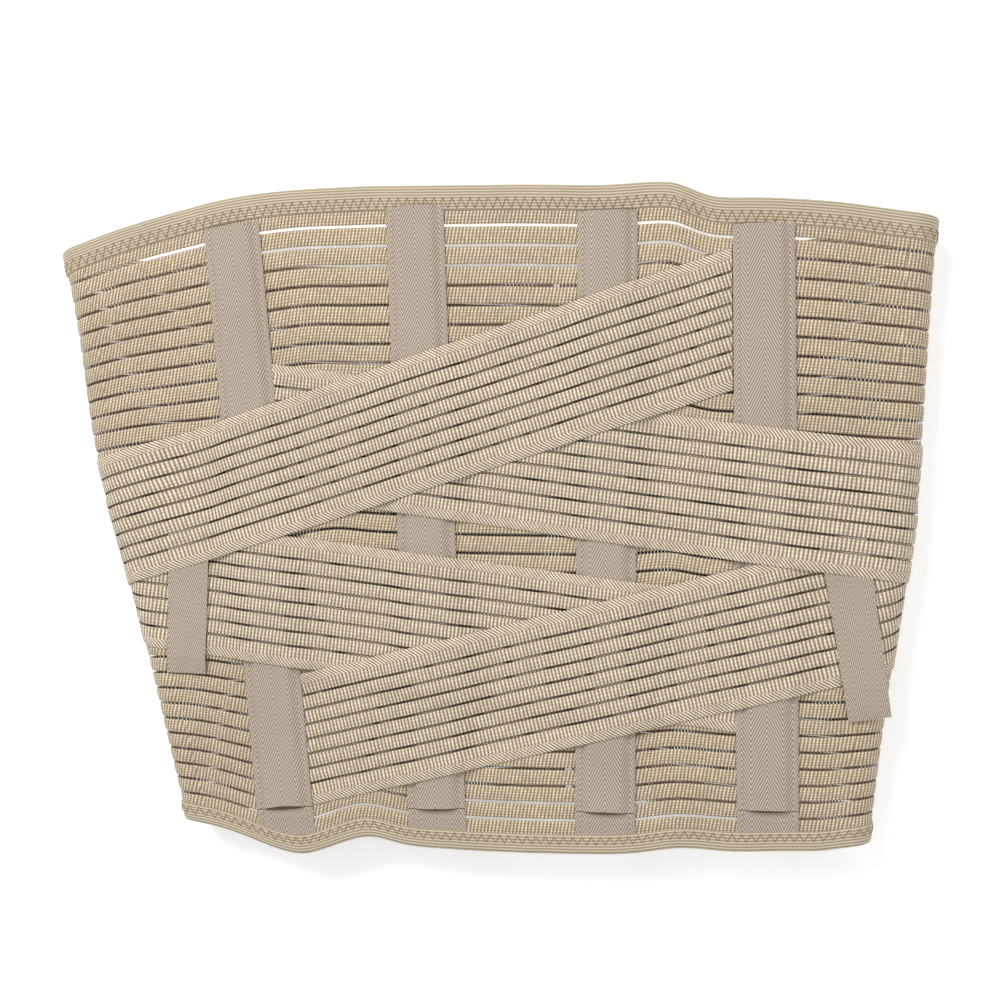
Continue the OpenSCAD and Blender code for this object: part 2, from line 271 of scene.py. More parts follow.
def cloth(name, along, across, lift, place, weave, thickness, slits=()):
    """A grid laid on the belt, with its slits cut out and its thickness put on inwards."""
    bpy.ops.object.select_all(action="DESELECT")
    columns, rows = len(along) - 1, len(across) - 1
    bpy.ops.mesh.primitive_grid_add(x_subdivisions=columns, y_subdivisions=rows, size=2)
    piece = bpy.context.object
    piece.name = piece.data.name = name
    mesh = piece.data
    co = np.zeros(len(mesh.vertices) * 3)
    mesh.vertices.foreach_get("co", co)
    co = co.reshape(-1, 3)
    column = np.rint((co[:, 0] + 1) / 2 * columns).astype(int)
    row = np.rint((co[:, 1] + 1) / 2 * rows).astype(int)
    lift = np.broadcast_to(lift, across.shape)
    points = bulged(place(along[column], across[row], lift[row]))
    mesh.vertices.foreach_set("co", (points * MM).ravel())
    corner = np.zeros(len(mesh.loops), int)
    mesh.loops.foreach_get("vertex_index", corner)
    layer = mesh.uv_layers.active
    layer.name = "weave"
    uv = weave(points, along[column], across[row])[corner]
    layer.data.foreach_set("uv", uv.astype(np.float32).ravel())
    grid = np.zeros((len(along), len(across), 3))
    grid[column, row] = points
    step_a, step_b = np.diff(grid, axis=0), np.diff(grid, axis=1)
    area = np.linalg.norm(np.cross(step_a[:, :-1], step_b[:-1]), axis=-1).sum()
    width = np.linalg.norm(step_a, axis=-1).sum(0).max()
    length = np.linalg.norm(step_b, axis=-1).sum(1).max()
    FLAT[name] = (width * MM, length * MM, min(area, width * length) * MM * MM)
    mesh.update()
    if len(slits):
        first = np.zeros(len(mesh.polygons) * 4, int)
        mesh.polygons.foreach_get("vertices", first)
        chosen = np.isin(row[first.reshape(-1, 4)].min(1), slits)
        bpy.ops.object.mode_set(mode="EDIT")
        bpy.ops.mesh.select_mode(type="FACE")
        bpy.ops.mesh.select_all(action="DESELECT")
        bpy.ops.object.mode_set(mode="OBJECT")
        mesh.polygons.foreach_set("select", chosen)
        bpy.ops.object.mode_set(mode="EDIT")
        bpy.ops.mesh.delete(type="FACE")
        bpy.ops.object.mode_set(mode="OBJECT")
    wall = piece.modifiers.new("wall", "SOLIDIFY")
    wall.thickness = thickness * MM
    wall.offset = -1
    bpy.ops.object.modifier_apply(modifier=wall.name)
    bpy.ops.object.shade_smooth_by_angle(angle=math.radians(50))
    return piece


def declare(piece, material, rests_on):
    """Gives a cloth piece its material."""
    piece.data.materials.clear()
    piece.data.materials.append(material)


class Shade:
    """A value in a material's nodes, on which the sums are written as expressions."""

    def __init__(self, tree, socket=None):
        self.tree, self.socket = tree, socket

    def node(self, kind, settings=None, inputs=(), output=0):
        made = self.tree.nodes.new(kind)
        for key, value in (settings or {}).items():
            setattr(made, key, value)
        pairs = inputs.items() if isinstance(inputs, dict) else enumerate(inputs)
        for key, value in pairs:
            if isinstance(value, Shade):
                self.tree.links.new(value.socket, made.inputs[key])
            else:
                made.inputs[key].default_value = value
        return Shade(self.tree, made.outputs[output] if len(made.outputs) else None)

    def math(self, operation, *values):
        return self.node("ShaderNodeMath", {"operation": operation}, values)

    def __add__(self, other):
        return self.math("ADD", self, other)

    __radd__ = __add__

    def __mul__(self, other):
        return self.math("MULTIPLY", self, other)

    __rmul__ = __mul__

    def __sub__(self, other):
        return self.math("SUBTRACT", self, other)

    def __rsub__(self, other):
        return self.math("SUBTRACT", other, self)

    def __truediv__(self, other):
        return self.math("DIVIDE", self, other)

    def __pow__(self, other):
        return self.math("POWER", self, other)

    def __gt__(self, other):
        return self.math("GREATER_THAN", self, other)

    def __lt__(self, other):
        return self.math("LESS_THAN", self, other)

    def wave(self):
        """From 0 to 1 and back, once for each whole step of the value, with 1 at the step."""
        return self.math("COSINE", self * (2 * math.pi)) * 0.5 + 0.5

    def part(self):
        return self.math("FRACT", self)

    def whole(self):
        return self.math("FLOOR", self)

    def away(self):
        return self.math("ABSOLUTE", self)

    def between(self, low, high):
        """0 below low, 1 above high, and smooth between them."""
        settings = {"interpolation_type": "SMOOTHSTEP"}
        return self.node("ShaderNodeMapRange", settings, (self, low, high, 0.0, 1.0))

    def mix(self, first, second):
        """A colour, from first where the value is 0 to second where it is 1."""
        inputs = {0: self, 6: first, 7: second}
        return self.node("ShaderNodeMix", {"data_type": "RGBA"}, inputs, output=2)

    def times(self, colour):
        """A colour scaled by the value."""
        inputs = {0: colour, "Scale": self}
        return self.node("ShaderNodeVectorMath", {"operation": "SCALE"}, inputs)


def srgb(red, green, blue):
    """A colour from its everyday numbers out of 255."""
    return (*(((c / 255 + 0.055) / 1.055) ** 2.4 for c in (red, green, blue)), 1.0)


def new_material(name):
    material = bpy.data.materials.new(name)
    material.use_nodes = True
    tree = material.node_tree
    tree.nodes.clear()
    return material, Shade(tree)


def noise(tree, scale, detail=2.0, vector=None):
    vector = vector or tree.node("ShaderNodeTexCoord", output="Object")
    inputs = {"Vector": vector, "Scale": scale, "Detail": detail}
    return tree.node("ShaderNodeTexNoise", None, inputs)


def weave_place(tree):
    """A cloth's own place on its weave: along its columns' count, and over its rows."""
    uv = tree.node("ShaderNodeUVMap", {"uv_map": "weave"})
    return [tree.node("ShaderNodeSeparateXYZ", None, (uv,), output=axis) for axis in "XY"]


def speckle(tree, first, second):
    """One random number for each pair of whole numbers."""
    pair = tree.node("ShaderNodeCombineXYZ", None, (first, second, 0.0))
    return tree.node("ShaderNodeTexWhiteNoise", {"noise_dimensions": "2D"}, {"Vector": pair})


def end_shader(tree, colour, height=None, bump_mm=0.3, **sockets):
    inputs = {key.replace("_", " "): value for key, value in sockets.items()}
    inputs["Base Color"] = colour
    if height is not None:
        bump = {"Height": height, "Strength": 1.0, "Distance": bump_mm * MM}
        inputs["Normal"] = tree.node("ShaderNodeBump", None, bump)
    shader = tree.node("ShaderNodeBsdfPrincipled", None, inputs)
    tree.node("ShaderNodeOutputMaterial", None, {"Surface": shader})


# The weave's cords lie side by side along each rib, and five beads make up its height
BEADS = 5
RIB_FROM, RIB_SHARE = 0.09, 0.82
PANEL_LIT_CREAM, PANEL_SHADED_BROWN = srgb(238, 222, 194), srgb(122, 101, 70)
panel_cloth, t = new_material("ribbed_elastic")
along, up = weave_place(t)
along = along + (noise(t, 70) - 0.5) * 0.7
bead_row = (up.part() - RIB_FROM) * (BEADS / RIB_SHARE)
column = along.wave() ** 0.75
bead = 1 - bead_row.wave() * 0.55
grain = speckle(t, (along + 0.5).whole(), bead_row.whole() + up.whole() * 7)
height = column * bead
# Painted light: the colour runs from a shaded brown in the weave's hollows to a lit cream on its
# crests, with a random speckle of tone on each bead.
bright = height * (0.8 + grain * 0.35)
shaded_tint = bright.math("MINIMUM", bright, 1.0)
shade = 0.9 + noise(t, 28) * 0.2
end_shader(t, shade.times(shaded_tint.mix(PANEL_SHADED_BROWN, PANEL_LIT_CREAM)), height, 0.45, Roughness=0.72,
           Sheen_Weight=0.12)

# Each rib's rounded section: share of its row, and lift
RIB_SECTION = [(0.07, -0.3), (0.14, -0.02), (0.5, 0.1), (0.86, -0.02), (0.93, -0.3)]
rib_rows = np.array([r + at for r in range(RIBS) for at, lift in RIB_SECTION])
rib_lift = np.array([lift for r in range(RIBS) for at, lift in RIB_SECTION])
rib_slits = np.arange(len(RIB_SECTION) - 1, len(rib_rows) - 1, len(RIB_SECTION))
# The flaps lie unstretched, so their slits are half as wide
CLOSING_UP = 0.035
closed_rows = rib_rows + np.tile([-CLOSING_UP, 0, 0, 0, CLOSING_UP], RIBS)


def panel_weave(points, s, row):
    return np.stack([(points[:, 0] - COLUMN_LEAN * points[:, 1]) / COLUMN, row], -1)


def turn_weave(side, first, last):
    """Carries the weave's columns on round a fold from where the back's columns end."""
    length = 2 * (TURN_IN - TURN_R) + math.pi * TURN_R

    def weave(points, s, row):
        s = 1 - s if side == "left" else s
        edge = back_at(row_end(side, row), row)
        start = (edge[:, 0] - COLUMN_LEAN * edge[:, 1]) / COLUMN
        return np.stack([start + SIDES[side] * (first + (last - first) * s) * length / COLUMN, row], -1)

    return weave


BACK_COLUMNS, TURN_COLUMNS, FRONT_COLUMNS = 131, 11, 41
back_ribs = cloth("back_ribs", np.linspace(0, 1, BACK_COLUMNS), rib_rows, rib_lift, on_back,
                  panel_weave, PANEL_T, rib_slits)
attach(back_ribs, "root")
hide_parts("back_panel")
declare(back_ribs, panel_cloth, ["left_front_ribs", "right_front_ribs"])


# How far inside each fold line the bulged cloth is flat everywhere
FLAT_IN = {"left": 4.5, "right": 7.8}


def fold_points(side, upper):
    """Where the flat cloth ends, and the middle of its turn, both half way up the fold."""
    low, up, out = FOLDS[side]
    high = top_edge(np.array([float(SIDES[side])]))[0]
    middle = (low + high) / 2
    flat = (*(middle - out * FLAT_IN[side]) * MM, (back_face if upper else front_face) * MM)
    return flat, (*middle * MM, turn_z * MM)


def bend(piece, side, upper):
    flat, turned = fold_points(side, upper)
    if upper:
        side + "_side"
        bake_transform(piece)
        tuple(flat)
        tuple(turned)
    else:
        side + "_side"
        side + "_front"
        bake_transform(piece)
        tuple(turned)
        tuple(flat)


# The two halves of a turn: whether it is the upper one, and its share of the way round
HALVES = [(True, 0.0, 0.5), (False, 0.5, 1.0)]
for side in SIDES:
    for upper, first, last in HALVES:
        name = side + ("_upper_turn_ribs" if upper else "_lower_turn_ribs")
        turn = cloth(name, np.linspace(0, 1, TURN_COLUMNS), rib_rows, rib_lift,
                     on_turn(side, first, last), turn_weave(side, first, last), PANEL_T, rib_slits)
        bend(turn, side, upper)
        if upper:
            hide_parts(side + "_side_panel")
        declare(turn, panel_cloth, ["back_ribs"])
    flap = cloth(side + "_front_ribs", np.linspace(0, 1, FRONT_COLUMNS), closed_rows, rib_lift,
                 on_front(side), panel_weave, PANEL_T, rib_slits)
    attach(flap, side + "_front")
    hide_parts(side + "_front_panel")
    declare(flap, panel_cloth, [side + "_loop_cloth"])

# ---- Clear threads across the slits ----
# Fine monofilament that joins each rib to the next, one short rung at every column of the weave.
# It is woven in with the ribs. Its glints are painted: the near-white thread shows only in patches of
# noise, set by its alpha, and is almost clear elsewhere.
RUNG_R = 0.13
RUNG_HALF = 0.085  # half a rung's length, in rows
RUNG_LIFT = -0.35
clear_thread, t = new_material("clear_thread")
# Painted glints: where the noise is high the thread shows white
glint_patches = noise(t, 60, 3.0).between(0.5, 0.6) * 0.9 + 0.06
end_shader(t, srgb(250, 251, 255), Roughness=0.22, Alpha=glint_patches, Specular_IOR_Level=0.8)


def prototype(kind, **settings):
    """The corners and faces of one small shape, made with a primitive and then taken apart."""
    bpy.ops.object.select_all(action="DESELECT")
    getattr(bpy.ops.mesh, "primitive_" + kind + "_add")(**settings)
    shape = bpy.context.object
    corners = np.array([v.co for v in shape.data.vertices])
    faces = [list(f.vertices) for f in shape.data.polygons]
    bpy.data.meshes.remove(shape.data)
    return corners, faces


def copies(name, shape, origins, axes):
    """One piece of many copies of a shape, each at its origin with its three axes as rows."""
    corners, faces = shape
    origins = bulged(origins)
    points = np.einsum("vk,nkc->nvc", corners, axes) + origins[:, None]
    count = len(corners)
    every = [[n * count + v for v in face] for n in range(len(origins)) for face in faces]
    mesh = bpy.data.meshes.new(name)
    mesh.from_pydata((points.reshape(-1, 3) * MM).tolist(), [], every)
    piece = bpy.data.objects.new(name, mesh)
    bpy.context.scene.collection.objects.link(piece)
    return piece


def tube_axes(start, end, radius):
    """Axes that lay a shape of unit radius and unit half length from start to end."""
    z = (end - start) / 2
    x = np.cross(z, np.broadcast_to((0, 0, 1), z.shape))
    x = x / np.maximum(np.linalg.norm(x, axis=-1, keepdims=True), 1e-9) * radius
    y = np.cross(z, x)
    y = y / np.maximum(np.linalg.norm(y, axis=-1, keepdims=True), 1e-9) * radius
    return (start + end) / 2, np.stack([x, y, z], 1)


def rungs(name, place, steps):
    """Short threads from each rib's edge over the slit to the next rib."""
    s = (np.arange(steps) + 0.5) / steps
    lift = np.full(steps, RUNG_LIFT)
    starts, ends = (np.concatenate([place(s, np.full(steps, row + reach), lift)
                                    for row in range(1, RIBS)])
                    for reach in (-RUNG_HALF, RUNG_HALF))
    origins, axes = tube_axes(starts, ends, RUNG_R)
    shape = prototype("cylinder", vertices=4, radius=1, depth=2, end_fill_type="NOTHING")
    piece = copies(name, shape, origins, axes)
    piece.data.materials.append(clear_thread)
    return piece


BACK_RUNGS, TURN_RUNGS, FRONT_RUNGS = 215, 10, 110
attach(rungs("back_threads", on_back, BACK_RUNGS), "root")
for side in SIDES:
    for upper, first, last in HALVES:
        name = side + ("_upper_turn_threads" if upper else "_lower_turn_threads")
        bend(rungs(name, on_turn(side, first, last), TURN_RUNGS), side, upper)
    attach(rungs(side + "_front_threads", on_front(side), FRONT_RUNGS), side + "_front")

# ---- Edge bindings ----
# A finely ribbed elastic tape folded over the top and the bottom edge of the whole loop. It is
# held by a zigzag of brown thread along its inner half.
BINDING = {"top": 11.6, "bottom": 8.8}
BIND_T = 0.6
BIND_LINE, BIND_CROSS = 1.3, 0.9  # its weave's steps across and along
ZIG, ZIG_R, ZIG_LIFT = 4.2, 0.19, 0.86
# Folded section: share of the width in from the edge, and lift above the panel's outer face
BIND_SECTION = [(1.0, 0.1), (0.985, 0.55), (0.9, 0.75), (0.72, 0.8), (0.5, 0.8), (0.28, 0.82),
                (0.12, 0.72), (0.04, 0.45), (0.0, -0.35), (0.04, -1.3), (0.14, -1.75),
                (0.5, -1.85), (0.9, -1.8), (1.0, -1.5)]
binding_cloth, t = new_material("binding_elastic")
along, over = weave_place(t)
line = (over / BIND_LINE + (noise(t, 90) - 0.5) * 0.3).wave()
height = line ** 0.7 * (0.85 + (along / BIND_CROSS).wave() * 0.15)
shade = 0.92 + noise(t, 40) * 0.16
# Painted light: the ribs' crests are coloured light and their hollows dark, as light and shade fall on
# them.
shaded_tint = (height * 0.85 + 0.1).mix(srgb(134, 118, 92), srgb(206, 193, 168))
end_shader(t, shade.times(shaded_tint), height, 0.3, Roughness=0.7, Sheen_Weight=0.12)
sewing_thread, t = new_material("sewing_thread")
end_shader(t, noise(t, 900, 1.0).mix(srgb(104, 84, 54), srgb(158, 134, 96)), Roughness=0.6)


def edge_place(edge, place_row):
    """Lays a binding's section along an edge: s along it, and the section's width and lift."""

    def place(s, width, lift):
        row_of = np.full_like(s, RIBS if edge == "top" else 0.0)
        outer = place_row(s, row_of, lift)
        step = -1.0 if edge == "top" else 1.0
        inner = place_row(s, row_of + step, lift)
        way = (inner - outer) / np.linalg.norm(inner - outer, axis=-1, keepdims=True)
        return outer + way * width[:, None]

    return place


def binding(name, edge, place_row, columns):
    width = BINDING[edge]
    section = BIND_SECTION if edge == "top" else BIND_SECTION[::-1]
    across = np.array([at * width for at, lift in section])
    lift = np.array([lift for at, lift in section])
    step = np.hypot(np.diff(across), np.diff(lift))
    round_the_edge = np.concatenate([[0], np.cumsum(step)])
    numbers = np.arange(len(section), dtype=float)
    place = edge_place(edge, place_row)

    def weave(points, s, number):
        return np.stack([points[:, 0], np.interp(number, numbers, round_the_edge)], -1)

    def numbered(s, number, lifted):
        return place(s, np.interp(number, numbers, across), lifted)

    return cloth(name, np.linspace(0, 1, columns), numbers, lift, numbered, weave, BIND_T)


def zigzag(name, edge, place_row, teeth):
    """Stitches that run to and fro between two lines along a binding."""
    width = BINDING[edge]
    place = edge_place(edge, place_row)
    ends = np.arange(2 * teeth + 1)
    across = np.where(ends % 2 == 0, width * 0.5, width - 0.9)
    points = place(ends / (2.0 * teeth), across, np.full(len(ends), ZIG_LIFT))
    origins, axes = tube_axes(points[:-1], points[1:], ZIG_R)
    shape = prototype("cylinder", vertices=6, radius=1, depth=2)
    piece = copies(name, shape, origins, axes)
    piece.data.materials.append(sewing_thread)
    return piece


BINDING_COLUMNS = 161
BACK_LENGTH = {"top": 380, "bottom": 292}
TURN_TEETH, FRONT_TEETH = 4, 46
for edge in BINDING:
    back_binding = binding("back_" + edge + "_binding", edge, on_back, BINDING_COLUMNS)
    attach(back_binding, "root")
    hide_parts(edge + "_binding")
    declare(back_binding, binding_cloth, ["back_ribs"])
    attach(zigzag("back_" + edge + "_zigzag", edge, on_back, round(BACK_LENGTH[edge] / ZIG)), "root")
    for side in SIDES:
        for upper, first, last in HALVES:
            end = side + ("_upper_" if upper else "_lower_") + edge
            turn = binding(end + "_binding", edge, on_turn(side, first, last), TURN_COLUMNS)
            bend(turn, side, upper)
            if upper and edge == "top":
                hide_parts(side + "_side_bindings")
            declare(turn, binding_cloth, ["back_ribs"])
            bend(zigzag(end + "_zigzag", edge, on_turn(side, first, last), TURN_TEETH), side, upper)
        front = side + "_front_" + edge
        front_binding = binding(front + "_binding", edge, on_front(side), FRONT_COLUMNS)
        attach(front_binding, side + "_front")
        if edge == "top":
            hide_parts(side + "_front_bindings")
        declare(front_binding, binding_cloth, [side + "_front_ribs"])
        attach(zigzag(front + "_zigzag", edge, on_front(side), FRONT_TEETH), side + "_front")

# ---- Stay pockets ----
# Herringbone cotton tape over a backing tape, sewn down along both edges on the panel, with a
# slit near the foot that a steel stay slides in through. A stay lies in each pocket.
SLIT_UP = 7.0
# How far each tape's foot runs on below its own end, under the binding
FOOT_BELOW = [6.0, 4.5, 4.5, 5.0]
# How far out the stitched seams lie, and where the tape starts to rise over the stay and is crowned
SEAM_AT, RAISED_HALF, CROWN_HALF = 10.6, 10.4, 7.5
COVER_T, FOOT_T, BACKING_T, BACKING_LIFT = 0.55, 0.3, 0.4, 0.5
TAPE_PAST = 3.5  # how far the tape runs on under the top binding
# How far each slit's upper and lower lip arch up or down at the middle
LIP_ARCH = [1.0, 0.0, 0.3, 0.2]
FOOT_ARCH = [-1.0, -1.2, -1.1, -1.0]
# The twill turns back at the middle, 7 mm out and 11.2 mm out, and its lines lie 1.07 mm apart
TURNS_AT, TURNS_AGAIN_AT, LINE_STEP, YARN = 7, 11.2, 1.07, 0.62
tape_cloth, t = new_material("herringbone_tape")
over, along = weave_place(t)
away = over.away()
folded = ((TURNS_AT - (away - TURNS_AT).away()) * (away < TURNS_AGAIN_AT)
          + (away - 2 * (TURNS_AGAIN_AT - TURNS_AT)) * (away > TURNS_AGAIN_AT))
lines = (folded * 0.89 + along * 0.45 + (noise(t, 120) - 0.5) * 0.25) / LINE_STEP
height = lines.wave() * (0.75 + (along / YARN).wave() * 0.25)
shade = 0.93 + noise(t, 30) * 0.14
# Painted light: the twill's raised lines are coloured light and the hollows between them dark, as light
# and shade fall on them.
shaded_tint = (height * 0.85 + 0.1).mix(srgb(110, 97, 82), srgb(206, 192, 176))
end_shader(t, shade.times(shaded_tint), height, 0.16, Roughness=0.82, Sheen_Weight=0.1)

# Painted shade: the backing tape is coloured dark brown to stand for the shaded inside of the pocket,
# seen through the slit.
shaded_lining, t = new_material("pocket_shade_lining")
end_shader(t, noise(t, 300).mix(srgb(92, 74, 52), srgb(136, 114, 86)), noise(t, 900), 0.1,
           Roughness=0.9)
tape_thread, t = new_material("tape_thread")
end_shader(t, noise(t, 900, 1.0).mix(srgb(140, 122, 102), srgb(186, 168, 148)), Roughness=0.7)


def tape_lift(x, y):
    """A pocket's outer face over the panel: raised over the stay, held down along the seams.

    Its slit's upper lip stands open a little, and the foot below it lies flat, dips towards the
    slit and sinks under the binding.
    """
    x = np.abs(x)
    raised = 1.12 + 1.55 * smooth((RAISED_HALF - x) / 2.7)
    crown = 0.14 * (1 - np.minimum(x / CROWN_HALF, 1) ** 2)
    lip = 0.5 * np.exp(-((y - SLIT_UP) / 5) ** 2) * smooth((9 - x) / 5)
    flat = 0.86 - 0.3 * smooth((y - 2) / 5) * smooth((9.5 - x) / 4) - 0.5 * smooth(-y / 2)
    return np.where(y > SLIT_UP, raised + crown + lip, flat)


def tape_place(k):
    foot, top = np.array(TAPE_FEET[k]), np.array(TAPE_TOPS[k])
    up = (top - foot) / np.linalg.norm(top - foot)
    right = np.array([up[1], -up[0]])

    def place(x, y, lift):
        p = foot + x[:, None] * right + y[:, None] * up
        return solid_point(p, back_face + swell(p) + lift)

    return place


def tape_weave(points, x, y):
    return np.stack([x, y], -1)


# Places across a tape, and how far its edges drop and its stitched seams sink in
half_x = np.array([2.5, 5, 7.4, 8.6, 9.8, SEAM_AT, 11.5, 13.2, TAPE_HALF])
tape_x = np.concatenate([-half_x[::-1], [0], half_x])
half_drop = np.array([0, 0, 0, 0, 0, -0.12, 0, 0, -0.25])
tape_drop = np.concatenate([half_drop[::-1], [0], half_drop])
SLIT_HALF_W = 9.5
STITCH_R, STITCH, STITCH_STEP = 0.17, 2.3, 3.0
BAR_UP, BAR_HALF = 1.6, 12.5  # the row of stitches across the foot
for k in range(4):
    number = str(k + 1)
    length = np.linalg.norm(np.array(TAPE_TOPS[k]) - TAPE_FEET[k])
    lay = tape_place(k)

    def cover_place(x, y, lift):
        shape = tape_lift(x, y) + np.interp(x, tape_x, tape_drop)
        arch = 1 - (np.minimum(np.abs(x), SLIT_HALF_W) / SLIT_HALF_W) ** 2
        arch = arch * np.exp(-np.abs(y - SLIT_UP) / 3)
        return lay(x, y + arch * np.where(y > SLIT_UP, LIP_ARCH[k], FOOT_ARCH[k]), shape)

    cover_y = np.concatenate([SLIT_UP + np.array([0.15, 0.8, 2]),
                              np.linspace(SLIT_UP + 4, length + TAPE_PAST, 66)])
    cover = cloth("pocket_tape_" + number, tape_x, cover_y, 0.0, cover_place, tape_weave, COVER_T)
    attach(cover, "root")
    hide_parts("pocket_cover_" + number, "pocket_seams_" + number)
    declare(cover, tape_cloth, ["back_ribs"])
    foot_y = np.linspace(-FOOT_BELOW[k], SLIT_UP - 0.25, 9)
    foot = cloth("pocket_foot_" + number, tape_x, foot_y, 0.0, cover_place, tape_weave, FOOT_T)
    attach(foot, "root")
    declare(foot, tape_cloth, ["pocket_backing_tape_" + number])

    def under_place(x, y, lift):
        return lay(x, y, np.full_like(x, BACKING_LIFT))

    under_y = np.linspace(-1.0, length + TAPE_PAST - 0.1, 32)
    under = cloth("pocket_backing_tape_" + number, tape_x[1:-1:2], under_y, 0.0, under_place,
                  tape_weave, BACKING_T)
    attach(under, "root")
    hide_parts("pocket_backing_" + number)
    declare(under, shaded_lining, ["back_ribs"])
    starts, ends = [], []
    for x in (-SEAM_AT, SEAM_AT):
        y = np.arange(0.5, length - 1, STITCH_STEP)
        at = np.full_like(y, x)
        starts.append(lay(at, y, tape_lift(at, y) - 0.08))
        ends.append(lay(at, y + STITCH, tape_lift(at, y + STITCH) - 0.08))
    x = np.arange(-BAR_HALF, BAR_HALF - 0.5, STITCH_STEP)
    at = np.full_like(x, BAR_UP)
    starts.append(lay(x, at, tape_lift(x, at) + 0.02))
    ends.append(lay(x + STITCH, at, tape_lift(x + STITCH, at) + 0.02))
    origins, axes = tube_axes(np.concatenate(starts), np.concatenate(ends), STITCH_R)
    shape = prototype("cylinder", vertices=6, radius=1, depth=2)
    seams = copies("pocket_stitches_" + number, shape, origins, axes)
    seams.data.materials.append(tape_thread)
    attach(seams, "root")

stay_steel, t = new_material("spring_steel")
place = t.node("ShaderNodeTexCoord", output="Object")
grain = t.node("ShaderNodeMapping", None, {"Vector": place, "Scale": (900, 30, 900)})
drawn = noise(t, 1.0, 3.0, grain)
end_shader(t, drawn.mix(srgb(112, 115, 120), srgb(158, 161, 166)), drawn, 0.03,
           Roughness=drawn * 0.15 + 0.25, Metallic=1.0)
for k in range(1, 5):
    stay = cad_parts["stay_" + str(k)]
    stay.data.materials.clear()
    stay.data.materials.append(stay_steel)

# ---- Straps ----
# Four lengths of slit elastic webbing, sewn in at the edges of the outer tapes. Two run to each
# side, cross over the other two, turn round the fold and go on along the front to a hook tab.
STRAP_HALF = 30.0
STRAP_T = 0.85
STRAP_RIBS, RIB = 8, 6.7
SLIT_HALF = 0.36
SELVAGE = 0.86  # the width of an outer rib that isn't selvage, in ribs
STRAP_COLUMN = 1.7
# Where the straps leave the flap as a tab is peeled, and where they are clear of it
PEEL_IN, PEELED_IN = 12.0, 18.6
# End at the tape's edge, distance up the fold, side, tape, and level of its outer face on the front
STRAPS = {
    "lower_left": ((110, -60 - MID_Y), 115.5, "left", 3, 3.0),
    "lower_right": ((-86, -93.7 - MID_Y), 106.5, "right", 0, 3.0),
    "upper_right": ((-97, 49.5 - MID_Y), 144.5, "right", 0, 4.2),
    "upper_left": ((111, 91.8 - MID_Y), 143.0, "left", 3, 4.2),
}
strap_cloth, t = new_material("strap_elastic")
along, over = weave_place(t)
along = along + (noise(t, 80) - 0.5) * 0.5
selvage = (over < -SELVAGE) + (over > STRAP_RIBS - 2 + SELVAGE)
inner = 1 - selvage
column = along.wave() ** 0.7
bead = 1 - (over * 4).wave() * 0.35
twill = (along + over * 3.94).wave() ** 0.7 * 0.95
height = column * bead * inner + twill * selvage
# Painted shade: the colour is darkened along both edges of each slit, where shade falls into it; depth
# darkens them again.
slit_shade_mask = ((over.part() - 0.5).away() * 2).between(0.76, 0.88)
slit_shade_mask = slit_shade_mask * (over > -0.5) * (over < STRAP_RIBS - 1.5)
grain = speckle(t, (along + 0.5).whole(), (over * 4).whole())
# Painted light: the colour runs from dark in the weave's hollows to light on its crests, with a random
# speckle of tone per bead.
shaded_tint = height * (0.84 + grain * 0.3) * (1 - slit_shade_mask * 0.85)
shade = 0.92 + noise(t, 25) * 0.16
depth = 1 - slit_shade_mask * 0.6
shaded_tint = shaded_tint.mix(srgb(110, 93, 68), srgb(235, 220, 196))
end_shader(t, (shade * depth).times(shaded_tint), height, 0.36, Roughness=0.7, Sheen_Weight=0.12)

# Heights over the panel, in mm on a 1 mm grid of the unfolded back, as the layers go on
GRID_X, GRID_Y = np.arange(-300.0, 301.0), np.arange(-190.0, 191.0)
plane = np.stack(np.meshgrid(GRID_X, GRID_Y, indexing="ij"), -1)


def spread(field, reach=5):
    """Each place takes the greatest height within reach mm of it."""
    span = range(-reach, reach + 1)
    shifts = [(i, j) for i in span for j in span if i * i + j * j <= reach * reach]
    return np.max([np.roll(field, shift, (0, 1)) for shift in shifts], 0)


def blur(field, sigma):
    fx, fy = np.fft.fftfreq(field.shape[0]), np.fft.rfftfreq(field.shape[1])
    soft = np.exp(-2 * (math.pi * sigma) ** 2 * (fx[:, None] ** 2 + fy[None] ** 2))
    return np.fft.irfft2(np.fft.rfft2(field) * soft, field.shape)


def sample(field, p):
    """The field's height at any place, evened out between its grid's places."""
    x = np.clip(p[..., 0] - GRID_X[0], 0, len(GRID_X) - 2.1)
    y = np.clip(p[..., 1] - GRID_Y[0], 0, len(GRID_Y) - 2.1)
    i, j = x.astype(int), y.astype(int)
    a, b = x - i, y - j
    return (field[i, j] * (1 - a) * (1 - b) + field[i + 1, j] * a * (1 - b)
            + field[i, j + 1] * (1 - a) * b + field[i + 1, j + 1] * a * b)


def cross(a, b):
    return a[0] * b[1] - a[1] * b[0]


def tape_field(k):
    x, y = on_tape(k, plane)
    length = np.linalg.norm(np.array(TAPE_TOPS[k]) - TAPE_FEET[k])
    return np.where((np.abs(x) < TAPE_HALF + 0.5) & (y > -4) & (y < length + 4), tape_lift(x, y), 0.0)


tape_fields = [tape_field(k) for k in range(4)]


TUCK = 1.2
UNDER_GAP = 0.04


